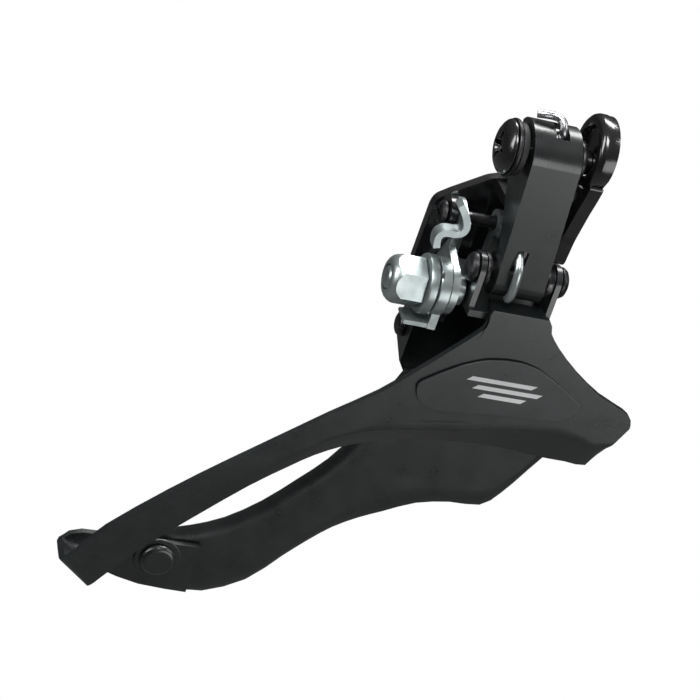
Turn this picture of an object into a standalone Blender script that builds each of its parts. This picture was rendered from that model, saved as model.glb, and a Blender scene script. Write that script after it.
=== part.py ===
# Front derailleur (bicycle), steel cage, swinging four-bar linkage. Metres, +Z up, CAD solids.
# All driving numbers are millimetres measured from U, the centre of the upper outer pivot.
# +X runs forward along the pivots, +Y points inboard (to the frame), +Z up.
import bpy
import bmesh
import math
from mathutils import Vector

# ---------------------------------------------------------------- driving dimensions (mm)
SEAT = (4.0, 24.0, -33.0)      # centre of the flat seat face, the origin of the part
LINK = 28.0                    # length of both swinging links, pivot to pivot
L_Y, L_Z = 0.0, -LINK          # outer lower pivot
I_Y, I_Z = 11.5, -22.5         # inner upper pivot
J_Y, J_Z = 11.5, I_Z - LINK    # inner lower pivot
GAP = 0.3                      # running gap between separate pieces
PLATE = 1.5                    # cage steel
LINK_SIDES = ((-8.7, -6.2), (1.9, 4.9))  # rear and front of the outer link, at its two pivots
LINK_WALL = 1.3
ANCHOR = (2.0, -35.0)          # cable anchor axis (y, z)
STUD_R = 2.5
NUT_AF = 9.6
NUT_SPIN = 20.0
TAIL = (-55.7, -114.6)         # tail rivet (x, z)
EYE_R, EYE_Z = 7.8, 2.8        # bracket eye: radius, and its centre above the pivot
SCREWS = ((-2.4, 8.3), (1.6, 12.8))  # high and low limit screws (x, y)
SEG = 20

for ob in list(bpy.data.objects):
    bpy.data.objects.remove(ob, do_unlink=True)

part = bpy.data.collections.new("front_derailleur")
cuts = bpy.data.collections.new("cutters")
bpy.context.scene.collection.children.link(part)
bpy.context.scene.collection.children.link(cuts)

COLOURS = {
    "black": ((0.028, 0.031, 0.034, 1), 0.6, 0.38),
    "gloss": ((0.012, 0.012, 0.014, 1), 0.5, 0.22),
    "zinc": ((0.66, 0.70, 0.70, 1), 0.95, 0.3),
    "steel": ((0.55, 0.57, 0.58, 1), 1.0, 0.28),
    "dark": ((0.06, 0.06, 0.065, 1), 0.8, 0.4),
    "nylon": ((0.03, 0.03, 0.03, 1), 0.0, 0.6),
    "badge": ((0.045, 0.05, 0.055, 1), 0.3, 0.25),
}


def world(p):
    return Vector(((p[0] - SEAT[0]) / 1000, (p[1] - SEAT[1]) / 1000, (p[2] - SEAT[2]) / 1000))


def to_object(bm, name, look, where=part, origin=None):
    """A finished mesh in mm becomes an object in metres with its origin on its own axis."""
    bmesh.ops.remove_doubles(bm, verts=bm.verts, dist=0.0005)
    bmesh.ops.recalc_face_normals(bm, faces=bm.faces)
    base = world(origin or SEAT)
    for v in bm.verts:
        v.co = world(v.co) - base
    me = bpy.data.meshes.new(name)
    bm.to_mesh(me)
    bm.free()
    ob = bpy.data.objects.new(name, me)
    ob.location = base
    where.objects.link(ob)
    if look:
        colour, metal, rough = COLOURS[look]
        mat = bpy.data.materials.new(name)
        mat.use_nodes = True
        b = mat.node_tree.nodes["Principled BSDF"]
        b.inputs["Base Color"].default_value = colour
        b.inputs["Metallic"].default_value = metal
        b.inputs["Roughness"].default_value = rough
        me.materials.append(mat)
    return ob


def place(axis, h, a, b):
    return {"x": (h, a, b), "y": (a, h, b), "z": (a, b, h)}[axis]


def circle(cy, cz, r, n=SEG, start=0.0, turn=360.0):
    k = n if turn >= 360 else n + 1
    return [(cy + r * math.cos(math.radians(start + turn * i / n)),
             cz + r * math.sin(math.radians(start + turn * i / n))) for i in range(k)]


def hull(points):
    pts = sorted(set((round(a, 5), round(b, 5)) for a, b in points))

    def half(seq):
        out = []
        for p in seq:
            while len(out) > 1 and ((out[-1][0] - out[-2][0]) * (p[1] - out[-2][1])
                                    - (out[-1][1] - out[-2][1]) * (p[0] - out[-2][0])) <= 1e-9:
                out.pop()
            out.append(p)
        return out[:-1]
    return half(pts) + half(reversed(pts))


def add_prism(bm, axis, pts, lo, hi, squeeze=None):
    """A flat outline pushed from lo to hi along an axis."""
    rings = []
    for h in (lo, hi):
        ring = []
        for a, b in pts:
            k = squeeze(a, b) if squeeze else 1.0
            ring.append(bm.verts.new(place(axis, h * k, a, b)))
        rings.append(ring)
    n = len(pts)
    bm.faces.new(rings[0])
    bm.faces.new(rings[1])
    for i in range(n):
        bm.faces.new((rings[0][i], rings[0][(i + 1) % n], rings[1][(i + 1) % n], rings[1][i]))


def add_turned(bm, axis, centre, profile, n=SEG, spin=0.0):
    """Rings of (position along the axis, radius); closed at both ends."""
    rings = []
    for h, r in profile:
        rings.append([bm.verts.new(place(axis, h, centre[0] + r * math.cos(math.radians(spin) + 2 * math.pi * i / n),
                                         centre[1] + r * math.sin(math.radians(spin) + 2 * math.pi * i / n)))
                      for i in range(n)])
    bm.faces.new(rings[0])
    bm.faces.new(rings[-1])
    for a, b in zip(rings, rings[1:]):
        for i in range(n):
            bm.faces.new((a[i], a[(i + 1) % n], b[(i + 1) % n], b[i]))


def add_tube(bm, axis, centre, lo, hi, inner, outer, n=SEG, edge=0.25):
    """A washer or bush: a ring section turned once round, small chamfers on the rim."""
    section = [(lo, inner), (lo, outer - edge), (lo + edge, outer), (hi - edge, outer),
               (hi, outer - edge), (hi, inner)]
    rings = [[bm.verts.new(place(axis, h, centre[0] + r * math.cos(2 * math.pi * i / n),
                                 centre[1] + r * math.sin(2 * math.pi * i / n))) for i in range(n)]
             for h, r in section]
    for k in range(len(rings)):
        a, b = rings[k], rings[(k + 1) % len(rings)]
        for i in range(n):
            bm.faces.new((a[i], a[(i + 1) % n], b[(i + 1) % n], b[i]))


def add_wire(bm, path, r, n=7):
    """A round wire along a path of points, flat ends."""
    pts = [Vector(p) for p in path]
    ring0 = None
    side = None
    rings = []
    for i, p in enumerate(pts):
        t = (pts[min(i + 1, len(pts) - 1)] - pts[max(i - 1, 0)]).normalized()
        if side is None:
            side = t.orthogonal().normalized()
        side = (side - t * side.dot(t)).normalized()
        other = t.cross(side)
        rings.append([bm.verts.new(p + (side * math.cos(2 * math.pi * k / n)
                                        + other * math.sin(2 * math.pi * k / n)) * r) for k in range(n)])
    bm.faces.new(rings[0])
    bm.faces.new(rings[-1])
    for a, b in zip(rings, rings[1:]):
        for i in range(n):
            bm.faces.new((a[i], a[(i + 1) % n], b[(i + 1) % n], b[i]))


def add_sheet(bm, rows, thick):
    """A pressed sheet: a grid of points (rows of equal length) thickened to one side."""
    grid = [[Vector(p) for p in row] for row in rows]
    nr, nc = len(grid), len(grid[0])
    normals = [[Vector((0, 0, 0)) for _ in range(nc)] for _ in range(nr)]
    faces_at = [[[] for _ in range(nc)] for _ in range(nr)]
    for r in range(nr - 1):
        for c in range(nc - 1):
            a, b, d, e = grid[r][c], grid[r][c + 1], grid[r + 1][c + 1], grid[r + 1][c]
            n = (d - a).cross(e - b)
            if n.length < 1e-6:
                continue
            n.normalize()
            for rr, cc in ((r, c), (r, c + 1), (r + 1, c + 1), (r + 1, c)):
                normals[rr][cc] += n
                faces_at[rr][cc].append(n)
    top, low = [], []
    for r in range(nr):
        top.append([])
        low.append([])
        for c in range(nc):
            n = normals[r][c].normalized()
            k = max(0.6, min(n.dot(m) for m in faces_at[r][c]))
            top[r].append(bm.verts.new(grid[r][c]))
            low[r].append(bm.verts.new(grid[r][c] + n * (thick / k)))
    for r in range(nr - 1):
        for c in range(nc - 1):
            for g in (top, low):
                bm.faces.new((g[r][c], g[r][c + 1], g[r + 1][c + 1]))
                bm.faces.new((g[r][c], g[r + 1][c + 1], g[r + 1][c]))
    for r in range(nr - 1):
        for c in (0, nc - 1):
            bm.faces.new((top[r][c], top[r + 1][c], low[r + 1][c], low[r][c]))
    for c in range(nc - 1):
        for r in (0, nr - 1):
            bm.faces.new((top[r][c], top[r][c + 1], low[r][c + 1], low[r][c]))


def solid(name, look, build, origin=None):
    bm = bmesh.new()
    build(bm)
    return to_object(bm, name, look, part, origin)


count = [0]


def tool(build):
    """A cutter or a piece to be added, kept out of sight in its own collection."""
    bm = bmesh.new()
    build(bm)
    count[0] += 1
    ob = to_object(bm, "tool_%02d" % count[0], None, cuts)
    ob.hide_render = True
    ob.display_type = "WIRE"
    return ob


def combine(ob, build, how):
    other = tool(build)
    mod = ob.modifiers.new("b", "BOOLEAN")
    mod.operation = how
    mod.solver = "EXACT"
    mod.object = other
    return ob


def cut(ob, build):
    return combine(ob, build, "DIFFERENCE")


def join(ob, build):
    return combine(ob, build, "UNION")


def box(x0, x1, y0, y1, z0, z1):
    return lambda bm: add_prism(bm, "x", [(y0, z0), (y1, z0), (y1, z1), (y0, z1)], x0, x1)


def hole(axis, centre, r, lo, hi, n=SEG):
    return lambda bm: add_turned(bm, axis, centre, [(lo, r), (hi, r)], n)


def prism(axis, pts, lo, hi):
    return lambda bm: add_prism(bm, axis, pts, lo, hi)


# ---------------------------------------------------------------- body bracket
def bracket():
    arm = circle(0, EYE_Z, EYE_R, 24, 40, 160)
    arm += [(-7.0, -1.9), (-6.0, -5.4), (-4.7, -9.4), (-2.9, -16.5), (-2.4, -22.2), (-1.4, -23.2), (6.0, -24.4), (15.0, -27.6),
            (18.5, -27.6), (18.5, -14.0), (15.5, -8.0)]
    ob = solid("body_bracket", "gloss", prism("x", arm, 5.2, 8.1))
    # raised round eye with a dished face towards the link
    join(ob, lambda bm: add_turned(bm, "x", (0, EYE_Z), [(4.2, 6.2), (4.6, 7.3), (5.6, 7.95), (6.8, 7.95),
                                                         (7.8, 7.3), (8.2, 6.2)], 28))
    cut(ob, hole("x", (0, EYE_Z), 5.2, 3.0, 5.6, 24))
    # back plate, its upper edge sloping down to the rear
    back = [(7.6, -14.2), (7.6, -41.0), (-17.2, -41.0), (-17.2, -23.4), (-16.6, -21.6), (-14.0, -19.6),
            (-6.7, -14.7), (-3.0, -13.5), (4.0, -13.3)]
    join(ob, prism("y", back, 16.0, 18.5))
    # rear flange with the ear for the inner upper pin
    flange = hull(circle(I_Y, I_Z, 4.0) + [(18.2, -22.0), (18.2, -38.0), (15.6, -38.0)])
    join(ob, prism("x", flange, -15.6, -14.1))
    # shelf that carries the two limit screws
    join(ob, box(-5.2, 5.6, 5.3, 17.0, -16.8, -14.6))
    # seat block with its two tapped holes
    seat = hull(circle(-2.0, -33.0, 6.5) + circle(10.0, -33.0, 6.5))
    join(ob, prism("y", seat, 18.0, SEAT[1]))
    for x in (-1.0, 9.0):
        cut(ob, hole("y", (x, -33.0), 2.15, 14.0, 26.0, 16))
    cut(ob, hole("x", (0, 0), 2.75, 3.0, 14.0))
    cut(ob, hole("x", (I_Y, I_Z), 1.65, -17.0, -13.0))
    cut(ob, hole("x", (I_Y, I_Z), 1.65, 4.0, 14.0))
    for x, y in SCREWS:
        cut(ob, hole("z", (x, y), 2.3, -18.0, -13.0, 16))
    return ob


# ---------------------------------------------------------------- upper pivot
def upper_pivot():
    bolt = solid("upper_pivot_bolt", "gloss", lambda bm: add_turned(
        bm, "x", (0, 0), [(-14.4, 2.6), (-14.2, 3.6), (-13.7, 4.9), (-13.0, 5.7), (-12.4, 5.8),
                          (-12.4, 2.4), (7.3, 2.4), (7.7, 2.0)]), origin=(0, 0, 0))
    for pts in ([(-2.9, -0.6), (2.9, -0.6), (2.9, 0.6), (-2.9, 0.6)],
                [(-0.6, -2.9), (0.6, -2.9), (0.6, 2.9), (-0.6, 2.9)]):
        cut(bolt, prism("x", pts, -15.0, -13.0))
    solid("upper_pivot_washer", "dark", lambda bm: add_tube(bm, "x", (0, 0), -12.1, -11.2, 2.7, 6.1))
    solid("upper_pivot_spacer", "nylon", lambda bm: add_tube(bm, "x", (0, 0), -10.9, -9.6, 2.7, 5.5))
    solid("upper_pivot_bush", "nylon", lambda bm: add_tube(bm, "x", (0, 0), -6.7, -0.2, 2.7, 3.2))
    solid("eye_washer", "dark", lambda bm: add_tube(bm, "x", (0, 0), 2.75, 3.85, 2.7, 4.3))


# ---------------------------------------------------------------- outer link
def link_x(side, z, wall=0.0):
    """Where the link's side lies: the channel leans forward towards its foot."""
    top, foot = LINK_SIDES[side]
    return top - (foot - top) * z / LINK + (wall if side == 0 else -wall)


def add_link_prism(bm, pts, wall=0.0):
    rings = [[bm.verts.new((link_x(side, z, wall), y, z)) for y, z in pts] for side in (0, 1)]
    n = len(pts)
    bm.faces.new(rings[0])
    bm.faces.new(rings[1])
    for i in range(n):
        bm.faces.new((rings[0][i], rings[0][(i + 1) % n], rings[1][(i + 1) % n], rings[1][i]))


def outer_link():
    outline = circle(0, 0, 6.8, 20, 42, 138) + circle(-0.5, L_Z, 4.8, 16, 180, 200)
    outline += [(-1.6, -22.0), (1.4, -15.5), (4.4, -9.0), (5.0, -3.0), (5.05, 2.0)]
    ob = solid("outer_link", "black", lambda bm: add_link_prism(bm, outline), origin=(0, 0, 0))
    w = LINK_WALL
    inside = hull(circle(0, 0, 6.8 - w, 28) + circle(-0.5, L_Z, 4.8 - w, 24)
                  + circle(20, 0, 6.8 - w, 28) + circle(20, L_Z, 4.8 - w, 24))
    cut(ob, lambda bm: add_link_prism(bm, inside, w))
    # the slot at the foot where the spring leg comes out, and the notch at the crown
    cut(ob, prism("y", [(-4.4, -25.4), (-1.6, -25.4), (-1.6, -19.6), (-4.4, -19.6)], -9.0, -2.0))
    cut(ob, box(-4.5, -1.5, -3.9, 1.2, 4.6, 9.0))
    cut(ob, hole("x", (0, 0), 2.75, -12.0, 9.0))
    cut(ob, hole("x", (L_Y, L_Z), 2.15, -12.0, 9.0))


def return_spring():
    """Torsion coil round the upper bush; its end crosses the crown."""
    r, wire, turns, n = 4.35, 0.9, 2.0, 14
    path = [(-8.4, 0.8, 8.1), (-7.0, 0.5, 8.35), (-5.2, 0.3, 8.5), (-3.8, -0.2, 8.4), (-3.1, -1.1, 7.8),
            (-2.9, -1.7, 6.8), (-2.6, -1.8, 5.8), (-2.2, -1.5, 4.9)]
    x0, pitch = -1.8, -1.9
    for i in range(int(turns * n) + 1):
        a = math.radians(98 - 360.0 * i / n)
        path.append((x0 + pitch * i / n, r * math.cos(a), r * math.sin(a)))
    solid("return_spring", "steel", lambda bm: add_wire(bm, path, wire), origin=(0, 0, 0))
    # second leg: a wire through the foot slot, down the outside, under the foot and back
    leg = [(-3.0, -2.6, -8.0), (-3.0, -3.0, -14.0), (-3.0, -3.2, -18.8), (-3.05, -3.7, -20.6),
           (-3.05, -5.2, -22.1), (-3.0, -6.5, -23.4), (-2.9, -7.0, -25.0), (-2.7, -6.9, -27.6),
           (-2.5, -6.4, -29.8), (-2.5, -5.4, -31.4)]
    solid("spring_leg", "zinc", lambda bm: add_wire(bm, leg, 0.95, 8), origin=(0, 0, 0))


# ---------------------------------------------------------------- lower outer pivot
def lower_pivot():
    o = (0, L_Y, L_Z)
    solid("lower_pivot_pin", "dark", lambda bm: add_turned(
        bm, "x", (L_Y, L_Z), [(-11.3, 2.3), (-10.9, 2.9), (-10.3, 3.2), (-9.8, 3.2), (-9.8, 1.85), (9.4, 1.85),
                              (9.4, 3.5), (9.9, 3.5), (10.7, 3.0), (11.1, 2.3)]), origin=o)
    solid("lower_washer_rear", "dark", lambda bm: add_tube(bm, "x", (L_Y, L_Z), -8.0, -7.0, 2.15, 3.6))
    solid("lower_washer_front", "dark", lambda bm: add_tube(bm, "x", (L_Y, L_Z), 5.75, 7.4, 2.15, 3.7))


# ---------------------------------------------------------------- cage
def cage_outer_plate():
    top = [(-77.0, -111.2), (-75.8, -109.4), (-71, -102.2), (-60, -90.8), (-50.2, -81.7), (-40.4, -73.1),
           (-31.6, -65.3), (-22.7, -57.9), (-15.8, -50.5), (-11.2, -45.3), (-5.9, -39), (-5.1, -36.3),
           (-5.0, -33.7), (1.4, -33.7), (7.8, -33.7), (9.3, -36.7), (12.9, -40.6), (18.6, -45.2),
           (25.6, -49.6), (32.6, -52.5), (34.9, -54.3), (35.5, -56.5)]
    bend = [(-74.0, -113.8), (-72.6, -111.8), (-67.0, -104.6), (-56.0, -93.2), (-46.2, -84.2), (-36.6, -76.0),
            (-30.0, -70.4), (-24.6, -67.4), (-20.2, -65.5), (-16.5, -64.4), (-12.5, -63.3), (-8.6, -62.4),
            (-4.2, -61.6), (-0.6, -61.0), (4.0, -60.0), (8.0, -59.4), (11.5, -59.0), (15.5, -58.7),
            (20.0, -58.8), (25.0, -59.9), (29.5, -61.2), (33.6, -60.6)]
    low = [(-69.9, -117.0), (-68.4, -114.8), (-62.0, -106.2), (-53.0, -96.2), (-43.5, -86.6), (-36.4, -80.6),
           (-31.4, -76.8), (-26.0, -73.8), (-21.6, -72.2), (-17.0, -70.8), (-12.5, -69.6), (-8.6, -68.9),
           (-5.0, -68.5), (-1.0, -68.2), (4.0, -67.9), (8.0, -68.0), (11.5, -68.2), (15.5, -68.5),
           (20.0, -68.8), (25.2, -68.9), (30.2, -69.0), (31.6, -65.0)]
    rows = [[], [], [], []]
    # the tail: a tab along the inner plate, a bridge across, then the plate itself
    tail = [((-46.4, -110.6), (-46.8, -123.4), 3.7), ((-59.0, -110.8), (-58.0, -122.8), 3.7),
            ((-73.6, -110.9), (-67.6, -120.2), 3.7), ((-77.4, -112.6), (-70.4, -119.0), 3.0),
            ((-78.8, -113.4), (-71.4, -119.4), 1.4), ((-78.8, -113.2), (-71.4, -119.2), -5.0),
            ((-78.2, -112.6), (-70.9, -118.4), -6.5)]
    for t, b, y in tail:
        for k, f in enumerate((0.0, 0.42, 0.7, 1.0)):
            rows[k].append((t[0] + (b[0] - t[0]) * f, y, t[1] + (b[1] - t[1]) * f))
    for t, m, b in zip(top, bend, low):
        curl = 0.25 + 2.2 * min(1.0, max(0.0, (t[0] + 60.0) / 50.0))
        rows[0].append((t[0], -7.0, t[1]))
        rows[1].append((m[0], -7.0, m[1]))
        q = (m[0] * 0.62 + b[0] * 0.38, m[1] * 0.62 + b[1] * 0.38)
        rows[2].append((q[0], -7.0 + curl * 0.22, q[1]))
        rows[3].append((b[0], -7.0 + curl, b[1]))
    ob = solid("cage_outer_plate", "black", lambda bm: add_sheet(bm, rows, PLATE))
    join(ob, box(-4.8, 7.4, -6.2, -1.6, -35.2, -33.8))
    cut(ob, hole("y", TAIL, 1.95, 0.0, 6.0, 16))
    return ob


def cage_inner_plate():
    top = [(-66.0, -112.6), (-61.0, -110.9), (-55.0, -109.6), (-49.1, -107.8), (-42.2, -104.4), (-35.2, -98.6),
           (-28.7, -91.2), (-23.4, -84.6), (-19.0, -76.0), (-16.2, -66.0), (-14.4, -58.2), (-7.0, -57.6),
           (1.0, -57.0), (9.0, -57.0), (16.0, -58.0), (22.0, -59.4), (28.0, -61.0)]
    low = [(-66.0, -116.8), (-62.5, -119.6), (-55.8, -123.4), (-51.0, -124.3), (-42.6, -123.7), (-33.8, -119.0),
           (-27.3, -111.0), (-22.6, -105.6), (-18.2, -101.3), (-13.0, -97.8), (-8.0, -95.2), (-0.9, -91.5),
           (7.0, -89.8), (14.1, -89.4), (17.6, -85.4), (21.4, -78.4), (28.0, -66.0)]
    rows = [[], [], [], [], []]
    for t, b in zip(top, low):
        roll = 1.1 if t[1] < -70.0 else 0.0
        for k, (f, y) in enumerate(((0.0, 5.5 + roll), (0.10, 5.5 + 0.25 * roll), (0.28, 5.5), (0.86, 5.5),
                                    (1.0, 6.2))):
            rows[k].append((t[0] + (b[0] - t[0]) * f, y, t[1] + (b[1] - t[1]) * f))
    rows = [list(reversed(r)) for r in rows]
    ob = solid("cage_inner_plate", "black", lambda bm: add_sheet(bm, rows, PLATE))
    cut(ob, hole("y", TAIL, 1.95, 2.0, 9.0, 16))
    for x in (-6.0, 6.0):
        cut(ob, hole("y", (x, -63.0), 1.75, 2.0, 9.0, 14))
    return ob


def cage_pivot_bracket():
    y0, y1 = 5.9, 7.4
    face = [(8.9, -37.0), (8.9, -46.0), (8.0, -66.5), (-9.0, -66.5), (-15.8, -57.0), (-15.8, -46.5), (-14.4, -45.4),
            (-9.5, -45.4), (-9.5, -37.0)]
    ob = solid("cage_pivot_bracket", "black", prism("y", face, y0, y1))
    join(ob, box(-9.5, 8.9, -5.1, y1, -37.0, -35.5))
    ear = hull(circle(L_Y, L_Z, 3.7) + [(-4.2, -36.2), (5.0, -36.2)])
    for x in (-9.5, 7.7):
        join(ob, prism("x", ear, x, x + 1.2))
    foot = hull(circle(J_Y, J_Z, 4.3) + [(y0 + 0.6, -46.6), (y0 + 0.6, -57.0)])
    for x in (-15.8, 6.6):
        join(ob, prism("x", foot, x, x + 1.5))
    for c, r in (((L_Y, L_Z), 2.15), ((J_Y, J_Z), 1.8)):
        cut(ob, hole("x", c, r, -20.0, 12.0, 16))
    for x in (-6.0, 6.0):
        cut(ob, hole("y", (x, -63.0), 1.75, 2.0, 9.0, 14))
    return ob


def cage_small():
    for name, x in (("bracket_rivet_rear", -6.0), ("bracket_rivet_front", 6.0)):
        solid(name, "steel", lambda bm, x=x: add_turned(
            bm, "y", (x, -63.0), [(2.9, 1.6), (3.2, 2.3), (3.55, 2.6), (3.55, 1.45), (7.7, 1.45), (7.7, 2.5),
                                  (8.2, 2.3), (8.5, 1.6)], 14))
    solid("tail_rivet", "black", lambda bm: add_turned(
        bm, "y", TAIL, [(-0.1, 2.2), (0.2, 3.2), (0.8, 3.9), (1.1, 4.0), (1.1, 1.65), (7.4, 1.65),
                                   (7.4, 3.4), (7.9, 3.2), (8.4, 2.2)], 18))
    solid("tail_washer", "black", lambda bm: add_tube(bm, "y", TAIL, 1.4, 1.9, 1.95, 5.2))
    lens = [(-15.9, -53.7), (-11.5, -50.2), (-7.2, -47.3), (-3.1, -45.4), (1.0, -44.6), (5.4, -44.5),
            (9.6, -45.4), (14.0, -47.6), (18.4, -50.2), (22.2, -52.7), (21.6, -55.2), (18.8, -57.2),
            (12.0, -57.8), (4.0, -58.2), (-4.0, -59.0), (-11.0, -59.6), (-14.6, -57.4)]
    solid("label_badge", "badge", prism("y", lens, -7.75, -7.3))


# ---------------------------------------------------------------- inner link and its pins
def ribbon(path, thick):
    """The outline of a bent strip from its middle line."""
    left, right = [], []
    for i, (x, z) in enumerate(path):
        x0, z0 = path[max(i - 1, 0)]
        x1, z1 = path[min(i + 1, len(path) - 1)]
        d = math.hypot(x1 - x0, z1 - z0)
        nx, nz = -(z1 - z0) / d * thick / 2, (x1 - x0) / d * thick / 2
        left.append((x + nx, z + nz))
        right.append((x - nx, z - nz))
    return left + right[::-1]


def inner_link():
    ay, az = ANCHOR
    arm = [(4.0, -20.4), (4.0, -22.8), (7.4, -24.6), (7.4, -28.0), (2.4, -29.4)]
    arm += circle(ay, az, 5.6, 20, 100, 240) + circle(I_Y, I_Z, 4.0, 12, 0, 110)
    ob = solid("inner_link", "zinc", prism("x", arm, -13.8, -12.2), origin=(0, I_Y, I_Z))
    # the bent strip on the arm's outer edge
    bent = [(-15.9, -16.4), (-14.9, -17.6), (-13.7, -19.4), (-13.1, -21.2), (-13.5, -22.5), (-14.8, -23.1),
            (-16.8, -23.2), (-18.0, -23.9), (-18.3, -25.2), (-17.9, -27.0)]
    join(ob, prism("y", ribbon(bent, 1.5), 3.2, 6.4))
    # the web down to the lower hub
    join(ob, box(-13.8, -10.4, I_Y - 1.4, I_Y + 1.4, -47.6, -23.6))
    join(ob, box(-13.75, 5.9, I_Y - 1.35, I_Y + 1.35, -49.5, -33.0))
    join(ob, lambda bm: add_turned(bm, "x", (J_Y, J_Z), [(-13.78, 3.3), (5.9, 3.3)]))
    join(ob, box(-4.3, 4.3, I_Y - 1.3, I_Y + 1.3, -34.0, -23.0))
    join(ob, lambda bm: add_turned(bm, "x", (I_Y, I_Z), [(-4.3, 3.0), (4.4, 3.0)]))
    # heels that meet the two limit screws
    join(ob, box(SCREWS[0][0] - 1.9, SCREWS[0][0] + 1.6, 6.6, I_Y, -23.6, -21.5))
    join(ob, box(SCREWS[1][0] - 1.4, 4.35, I_Y - 0.5, 14.2, -21.6, -19.2))
    cut(ob, hole("x", (I_Y, I_Z), 1.65, -20.0, 12.0, 16))
    cut(ob, hole("x", (J_Y, J_Z), 2.3, -20.0, 12.0, 16))
    cut(ob, hole("x", (ay, az), STUD_R + 0.3, -20.0, -8.0, 16))
    return ob


def inner_pins():
    pin = solid("inner_upper_pin", "dark", lambda bm: add_turned(
        bm, "x", (I_Y, I_Z), [(-17.1, 1.9), (-16.8, 2.5), (-16.2, 2.7), (-15.9, 2.7), (-15.9, 1.35),
                              (8.3, 1.35), (8.6, 1.0)], 16), origin=(0, I_Y, I_Z))
    for half in ((1.7, 0.35), (0.35, 1.7)):
        cut(pin, box(-18.0, -16.6, I_Y - half[0], I_Y + half[0], I_Z - half[1], I_Z + half[1]))
    solid("inner_lower_pin", "dark", lambda bm: add_turned(
        bm, "x", (J_Y, J_Z), [(-17.5, 1.9), (-17.1, 2.5), (-16.1, 2.75), (-16.1, 1.5), (8.5, 1.5),
                              (8.5, 2.4), (9.1, 2.2), (9.4, 1.4)], 16), origin=(0, J_Y, J_Z))


# ---------------------------------------------------------------- cable anchor
def anchor():
    c = ANCHOR
    o = (0, c[0], c[1])
    solid("anchor_bolt", "zinc", lambda bm: add_turned(
        bm, "x", c, [(-27.0, 2.0), (-26.6, STUD_R), (-11.9, STUD_R), (-11.9, 3.3), (-10.1, 3.3),
                     (-9.9, 3.0)]), origin=o)
    bore = STUD_R + 0.3
    nut = solid("anchor_nut", "zinc", lambda bm: add_turned(
        bm, "x", c, [(-26.7, NUT_AF * 0.577), (-19.4, NUT_AF * 0.577)], 6, NUT_SPIN), origin=o)
    # domed open end of the nut
    trim = [(-30.0, 9.0), (-30.0, 3.3), (-26.8, 3.5), (-26.4, 4.3), (-25.4, 5.0), (-24.4, 5.5), (-24.4, 9.0)]

    def ring(bm):
        rings = [[bm.verts.new((h, c[0] + r * math.cos(2 * math.pi * i / 24),
                                c[1] + r * math.sin(2 * math.pi * i / 24))) for i in range(24)]
                 for h, r in trim]
        for k in range(len(rings)):
            a, b = rings[k], rings[(k + 1) % len(rings)]
            for i in range(24):
                bm.faces.new((a[i], a[(i + 1) % 24], b[(i + 1) % 24], b[i]))
    cut(nut, ring)
    cut(nut, hole("x", c, bore, -30.0, -15.0))
    solid("anchor_washer", "zinc", lambda bm: add_tube(bm, "x", c, -19.1, -17.0, bore, 6.5, 24))
    clamp = solid("cable_clamp_plate", "zinc", lambda bm: add_tube(bm, "x", c, -16.7, -14.1, bore, 6.3, 24),
                  origin=o)
    # its lip turns back under the washer
    join(clamp, box(-16.0, -14.2, c[0] - 4.4, c[0] + 1.4, c[1] - 8.2, c[1] - 4.0))
    join(clamp, box(-21.4, -14.3, c[0] - 4.2, c[0] + 1.2, c[1] - 8.1, c[1] - 7.1))
    cut(clamp, box(-17.5, -16.1, c[0] - 4.6, c[0] - 3.5, c[1] - 6.9, c[1] + 9.0))


# ---------------------------------------------------------------- limit screws
def limit_screws():
    for name, x, y, tip in (("high_limit_screw", *SCREWS[0], -18.7), ("low_limit_screw", *SCREWS[1], -18.9)):
        ob = solid(name, "steel", lambda bm, x=x, y=y, tip=tip: add_turned(
            bm, "z", (x, y), [(tip, 1.5), (tip + 0.5, 2.0), (-14.3, 2.0), (-14.3, 2.9), (-13.4, 2.9),
                              (-12.7, 2.5), (-12.4, 1.6)], 16), origin=(x, y, -14.3))
        cut(ob, prism("y", [(x - 2.2, -13.2), (x + 2.2, -13.2), (x + 2.2, -11.0), (x - 2.2, -11.0)],
                      y - 0.4, y + 0.4))
        cut(ob, prism("y", [(x - 0.4, -13.2), (x + 0.4, -13.2), (x + 0.4, -11.0), (x - 0.4, -11.0)],
                      y - 2.2, y + 2.2))


bracket()
upper_pivot()
outer_link()
return_spring()
lower_pivot()
cage_outer_plate()
cage_inner_plate()
cage_pivot_bracket()
cage_small()
inner_link()
inner_pins()
anchor()
limit_screws()
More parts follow.
